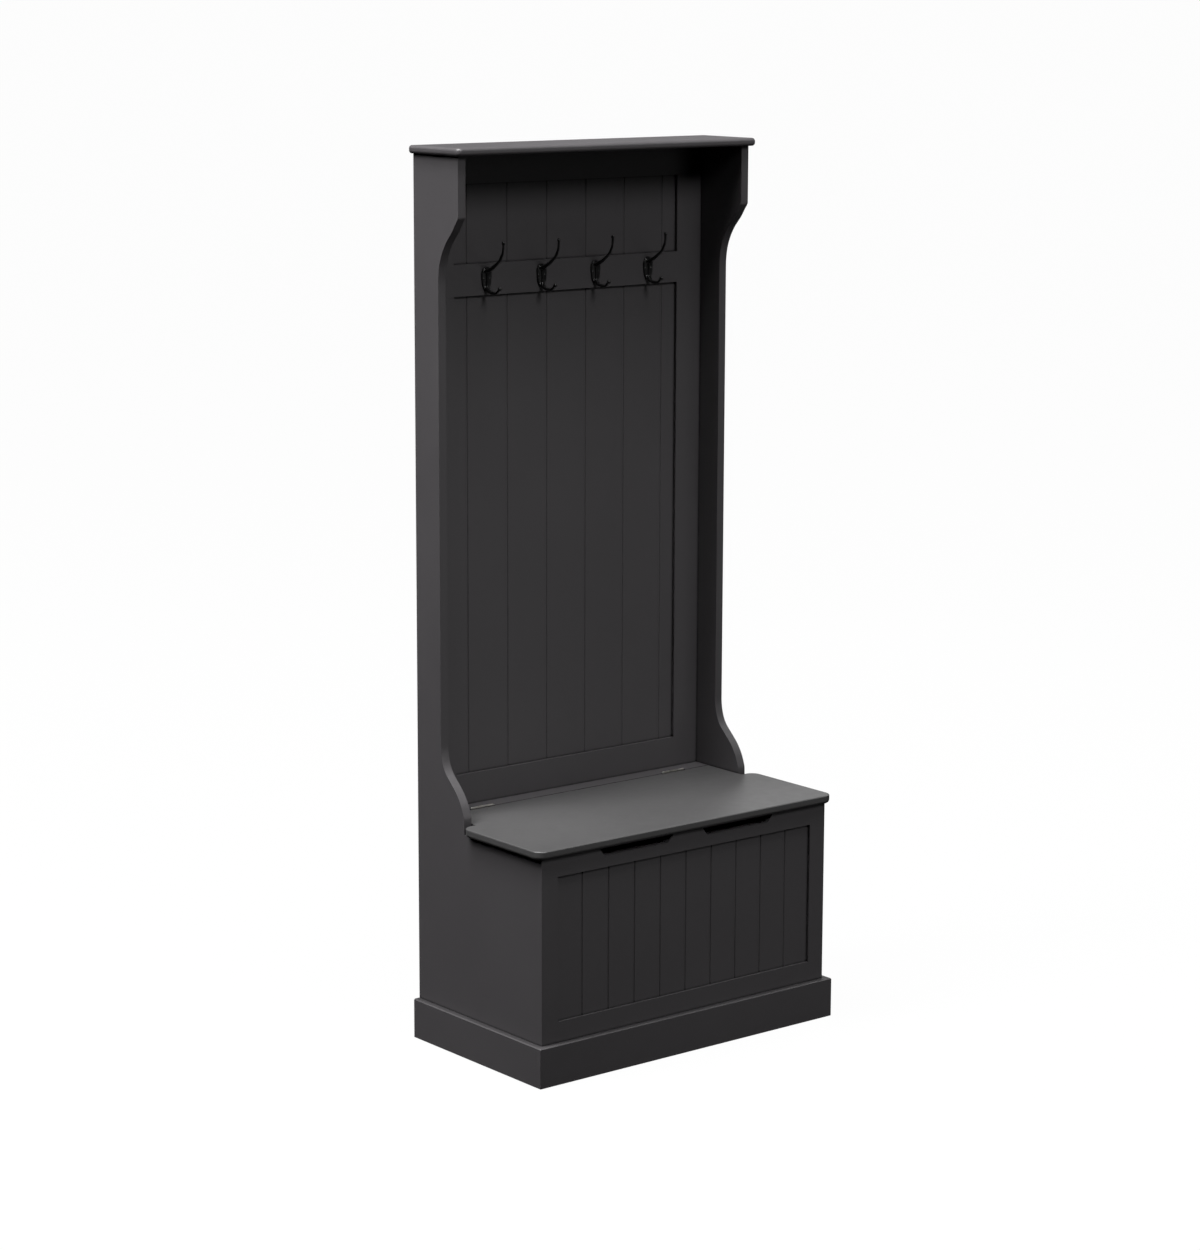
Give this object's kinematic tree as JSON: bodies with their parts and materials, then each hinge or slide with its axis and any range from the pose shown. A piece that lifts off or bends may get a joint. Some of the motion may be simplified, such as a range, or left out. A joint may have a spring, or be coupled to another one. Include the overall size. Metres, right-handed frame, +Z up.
{
  "type": "hall tree",
  "caption": "Hall tree: storage bench with a hinged seat lid under a tall beadboard back with shaped side panels, a rail of double coat hooks and a top board.",
  "frame": {"origin": "centre of the overall box at floor level", "axes": "+Z up, -Y the front where a person sits, +Y the wall side, +X to the sitter's left when seated facing out"},
  "size_m": [0.766, 0.419, 1.8],
  "materials": {
    "charcoal_paint": "satin charcoal paint on MDF",
    "charcoal_paint_seat": "satin charcoal paint on MDF, seat",
    "black_cast_metal": "black painted casting, low sheen",
    "black_screw": "black screw",
    "satin_nickel": "satin nickel plate",
    "zinc_screw": "zinc plated",
    "beech_dowel": "raw fluted beech",
    "glide_plastic": "moulded",
    "bumper_rubber": "soft"
  },
  "bodies": {
    "carcass": {"side_panel_left": "charcoal_paint", "side_panel_right": "charcoal_paint", "top_board": "charcoal_paint", "back_panel": "charcoal_paint", "back_stile_left": "charcoal_paint", "back_stile_right": "charcoal_paint", "back_top_rail": "charcoal_paint", "hook_rail": "charcoal_paint", "back_bottom_rail": "charcoal_paint", "box_side_left": "charcoal_paint", "box_side_right": "charcoal_paint", "front_stile_left": "charcoal_paint", "front_stile_right": "charcoal_paint", "front_top_rail": "charcoal_paint", "front_bottom_rail": "charcoal_paint", "front_panel": "charcoal_paint", "box_back": "charcoal_paint", "box_floor": "charcoal_paint", "plinth_front": "charcoal_paint", "plinth_left": "charcoal_paint", "plinth_right": "charcoal_paint", "rear_strip": "charcoal_paint", "floor_cleat_left": "charcoal_paint", "floor_cleat_right": "charcoal_paint", "coat_hook_1": "black_cast_metal", "coat_hook_2": "black_cast_metal", "coat_hook_3": "black_cast_metal", "coat_hook_4": "black_cast_metal", "hook_screws": "black_screw", "hinge_left_fixed_leaf": "satin_nickel", "hinge_right_fixed_leaf": "satin_nickel", "hinge_left_pin": "satin_nickel", "hinge_right_pin": "satin_nickel", "hinge_screws_fixed": "zinc_screw", "back_screws": "zinc_screw", "dowels_side_panels": "beech_dowel", "dowels_top_board": "beech_dowel", "dowels_rear_strip": "beech_dowel", "dowels_front_frame": "beech_dowel", "floor_glides": "glide_plastic", "lid_bumpers": "bumper_rubber"},
    "lid": {"seat_lid": "charcoal_paint_seat", "hinge_left_lid_leaf": "satin_nickel", "hinge_right_lid_leaf": "satin_nickel", "hinge_screws_lid": "zinc_screw"}
  },
  "joints": [
    {"name": "lid_hinge", "type": "hinge", "parent": "carcass", "child": "lid", "pos_m": [0, 0.15, 0.4758], "axis": [-1, 0, 0], "range_deg": [0, 73]}
  ]
}
